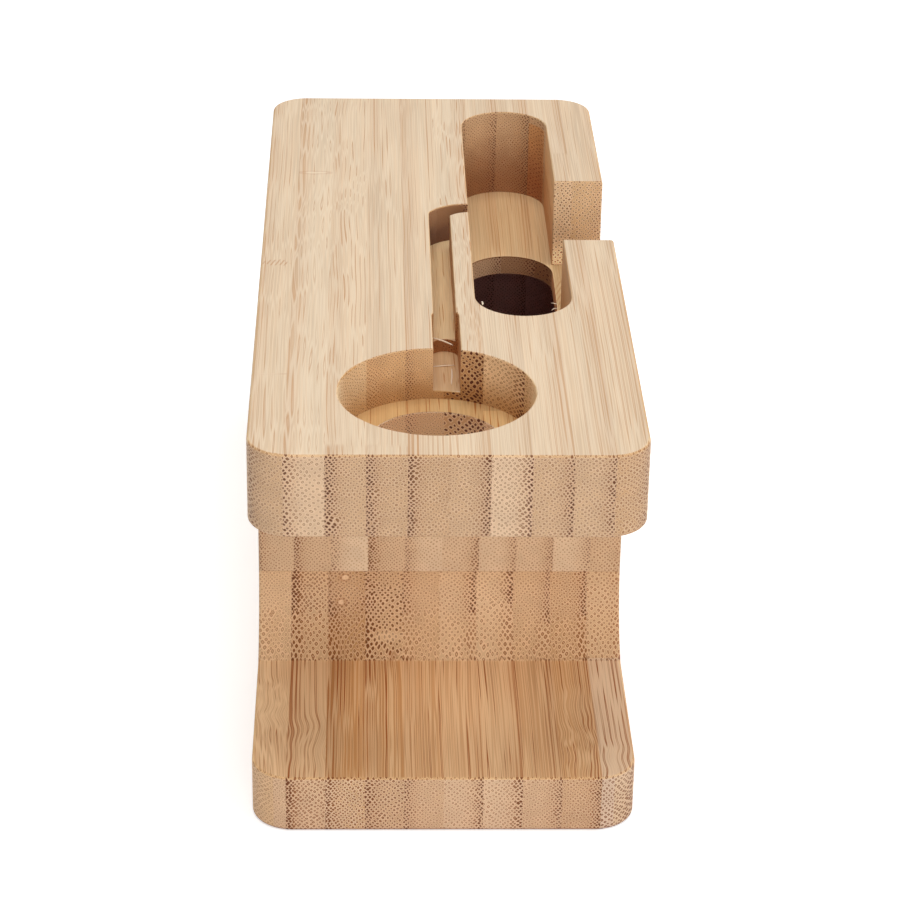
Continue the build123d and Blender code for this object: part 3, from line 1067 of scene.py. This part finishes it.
@dataclass
class TornFibres:
    """Stray fibres that the cutter left standing on the edges of the cuts."""

    fibres: dict[str, tuple[Fibre, ...]] = field(default_factory=lambda: {
        "fibre_across_step": (Fibre((-1.75, -25.6, 60.0), (0.0, -27.5, 60.5), (1.64, -29.1, 60.3), 0.26),),
        "fibre_across_mouth": (Fibre((-1.6, -28.4, 56.32), (0.24, -28.5, 56.6), (2.09, -27.9, 56.35), 0.2),),
        "fibre_down_mouth": (Fibre((1.40, -28.9, 56.32), (1.46, -32.0, 56.7), (1.22, -35.1, 56.35), 0.28),),
        "fibres_by_slot": (Fibre((20.7, 14.9, 47.7), (20.0, 14.1, 48.3), (19.5, 14.8, 48.0), 0.15),
                           Fibre((20.7, 12.9, 47.7), (20.0, 12.8, 48.2), (19.5, 12.0, 47.8), 0.13)),
        "fibre_on_pocket_rim": (Fibre((6.4, -20.3, 63.2), (6.5, -19.7, 63.6), (6.2, -19.2, 63.3), 0.3),),
    })
    steps: int = 12
    sides: int = 6
    taper: float = 0.95
    grain: Triple = (6.0, 0.8, 6.0)
    pale: Colour = paint(255, 245, 226)
    brown: Colour = paint(238, 210, 172)
    roughness: Pair = (0.45, 0.7)

    def tube(self, fibre: Fibre) -> tuple[np.ndarray, list[list[int]]]:
        """Points and faces of one fibre.

        The middle line is (1 - t) squared times the root, 2 t (1 - t) times the bend and t squared times the
        tip. A ring of the given number of sides is carried along it, and its radius falls off to both ends
        as the root of a half circle, so that the tube closes in a point.

        Args:
            fibre: where it runs, and how thick it is.
        Returns:
            The points in metres, from the root to the tip, and the corners of each face.
        """
        t = np.linspace(0.0, 1.0, self.steps)[:, None]
        root, bend, tip = (np.array(point) * MM for point in (fibre.root, fibre.bend, fibre.tip))
        line = (1 - t) ** 2 * root + 2 * t * (1 - t) * bend + t ** 2 * tip
        ahead = np.gradient(line, axis=0)
        ahead /= np.linalg.norm(ahead, axis=1, keepdims=True)
        across = np.cross(ahead, (0.0, 0.0, 1.0))
        across /= np.linalg.norm(across, axis=1, keepdims=True)
        above = np.cross(across, ahead)
        radius = fibre.thickness * MM / 2 * np.sqrt(1 - (self.taper * (2 * t[1:-1] - 1)) ** 2)
        turn = np.linspace(0.0, 2 * math.pi, self.sides, endpoint=False)[None, :, None]
        rings = line[1:-1, None] + radius[:, None] * (
            np.cos(turn) * across[1:-1, None] + np.sin(turn) * above[1:-1, None])
        points = np.vstack([line[:1], rings.reshape(-1, 3), line[-1:]])
        side = np.arange(self.sides)
        after, last = (side + 1) % self.sides, len(points) - 1
        low = 1 + self.sides * np.arange(self.steps - 3)[:, None]
        high = low + self.sides
        walls = np.stack([low + side, low + after, high + after, high + side], axis=-1).reshape(-1, 4)
        near_end = np.stack([0 * side, 1 + after, 1 + side], axis=-1)
        far_end = np.stack([0 * side + last, last - self.sides + side, last - self.sides + after], axis=-1)
        return points, near_end.tolist() + far_end.tolist() + walls.tolist()

    def material(self) -> bpy.types.Material:
        """Pale, slightly streaked fibre.

        Returns:
            A material that reads the object's own coordinates.
        """
        material, graph = new_material("torn_fibre")
        place = graph.scaled(graph.add("ShaderNodeTexCoord").outputs["Object"], 1 / MM)
        streaks = graph.noise(graph.stretched(place, self.grain), 2.0)
        shader = graph.add("ShaderNodeBsdfPrincipled", {
            "Base Color": graph.mix(streaks, self.pale, self.brown),
            "Roughness": graph.between(streaks, *self.roughness),
        })
        graph.add("ShaderNodeOutputMaterial", {"Surface": shader.outputs[0]})
        return material

    def build(self) -> None:
        """Makes each piece a mesh of its own that rides on the block."""
        material = self.material()
        for name, fibres in self.fibres.items():
            points, faces = [], []
            for fibre in fibres:
                more_points, more_faces = self.tube(fibre)
                faces += [[corner + len(points) for corner in face] for face in more_faces]
                points += more_points.tolist()
            mesh = bpy.data.meshes.new(name)
            mesh.from_pydata(points, [], faces)
            mesh.shade_smooth()
            mesh.materials.append(material)
            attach(new_piece(name, mesh), "root")
            log.info("made %s", name)


@dataclass(frozen=True)
class Lamp:
    """A soft round lamp that shines at the stand's foot, its size in millimetres and its power in watts."""

    name: str
    place: Triple
    size: float
    power: float


@dataclass
class Studio:
    """Plain pale floor, soft light and the camera."""

    camera_place: Triple = (-11.753, -443.586, 252.232)
    yaw: float = 1.815
    pitch: float = 26.869
    roll: float = 0.969
    lens: float = 117.788
    clip: Pair = (0.01, 100.0)
    floor_half: float = 3000.0
    floor_tone: float = 0.9
    floor_lift: float = 0.45
    sky: float = 0.32
    lamps: tuple[Lamp, ...] = (
        Lamp("front", (50.0, -1200.0, 350.0), 600.0, 5.5),
        Lamp("overhead", (0.0, 0.0, 1200.0), 800.0, 6.0),
        Lamp("side", (900.0, -300.0, 600.0), 1000.0, 4.0),
    )

    def camera(self) -> None:
        """Places the camera: yaw to the right, pitch down and roll, in degrees."""
        yaw, pitch, roll = (math.radians(angle) for angle in (self.yaw, self.pitch, self.roll))
        ahead = Vector((math.sin(yaw) * math.cos(pitch), math.cos(yaw) * math.cos(pitch), -math.sin(pitch)))
        level = Vector((math.cos(yaw), -math.sin(yaw), 0.0))
        above = level.cross(ahead)
        right = math.cos(roll) * level + math.sin(roll) * above
        upward = -math.sin(roll) * level + math.cos(roll) * above
        camera = new_piece("camera", bpy.data.cameras.new("camera"))
        turned = Matrix((right, upward, -ahead)).transposed().to_4x4()
        camera.matrix_world = Matrix.Translation(Vector(self.camera_place) * MM) @ turned
        camera.data.lens = self.lens
        camera.data.clip_start, camera.data.clip_end = self.clip
        bpy.context.scene.camera = camera

    def seen(self, graph: Graph) -> Socket:
        """Which rays show the background as it is.

        Args:
            graph: the floor's or the sky's graph.
        Returns:
            1 for rays from the camera, off gloss and through glass, and 0 for the rest.
        """
        path = graph.add("ShaderNodeLightPath").outputs
        shown = graph.plus(path["Is Camera Ray"], path["Is Glossy Ray"], path["Is Transmission Ray"])
        return graph.math("MINIMUM", shown, 1.0)

    def light(self) -> None:
        """An even sky, whiter where it is seen, and large soft lamps."""
        world = bpy.data.worlds.new("studio")
        bpy.context.scene.world = world
        world.use_nodes = True
        graph = Graph(world.node_tree)
        strength = graph.between(self.seen(graph), self.sky, 1.0)
        background = world.node_tree.nodes["Background"]
        background.inputs["Color"].default_value = WHITE
        world.node_tree.links.new(strength, background.inputs["Strength"])
        for lamp in self.lamps:
            light = bpy.data.lights.new(lamp.name, "AREA")
            light.shape, light.size, light.energy = "DISK", lamp.size * MM, lamp.power
            piece = new_piece(lamp.name, light)
            piece.location = Vector(lamp.place) * MM
            piece.rotation_euler = piece.location.to_track_quat("Z", "Y").to_euler()

    def floor(self) -> None:
        """A wide pale sheet under the stand, a shade whiter where it is seen, with the stand's shadow."""
        half = self.floor_half * MM
        corners = [(-half, -half, 0), (half, -half, 0), (half, half, 0), (-half, half, 0)]
        mesh = bpy.data.meshes.new("floor")
        mesh.from_pydata(corners, [], [(0, 1, 2, 3)])
        material, graph = new_material("pale_floor")
        tone = (self.floor_tone, self.floor_tone, self.floor_tone, 1.0)
        diffuse = graph.add("ShaderNodeBsdfDiffuse", {"Color": tone})
        lift = graph.add("ShaderNodeEmission", {"Strength": graph.times(self.seen(graph), self.floor_lift)})
        both = graph.add("ShaderNodeAddShader", {0: diffuse.outputs[0], 1: lift.outputs[0]})
        graph.add("ShaderNodeOutputMaterial", {"Surface": both.outputs[0]})
        mesh.materials.append(material)
        new_piece("floor", mesh)

    def build(self) -> None:
        """Makes the whole studio."""
        bpy.context.scene.view_settings.view_transform = "Standard"
        self.camera()
        self.light()
        self.floor()


def main() -> None:
    """Dresses the block, adds its torn fibres and sets the studio round it."""
    logging.basicConfig(level=logging.INFO, format="%(name)s: %(message)s")
    Block().dress()
    TornFibres().build()
    Studio().build()


if __name__ == "__main__":
    main()
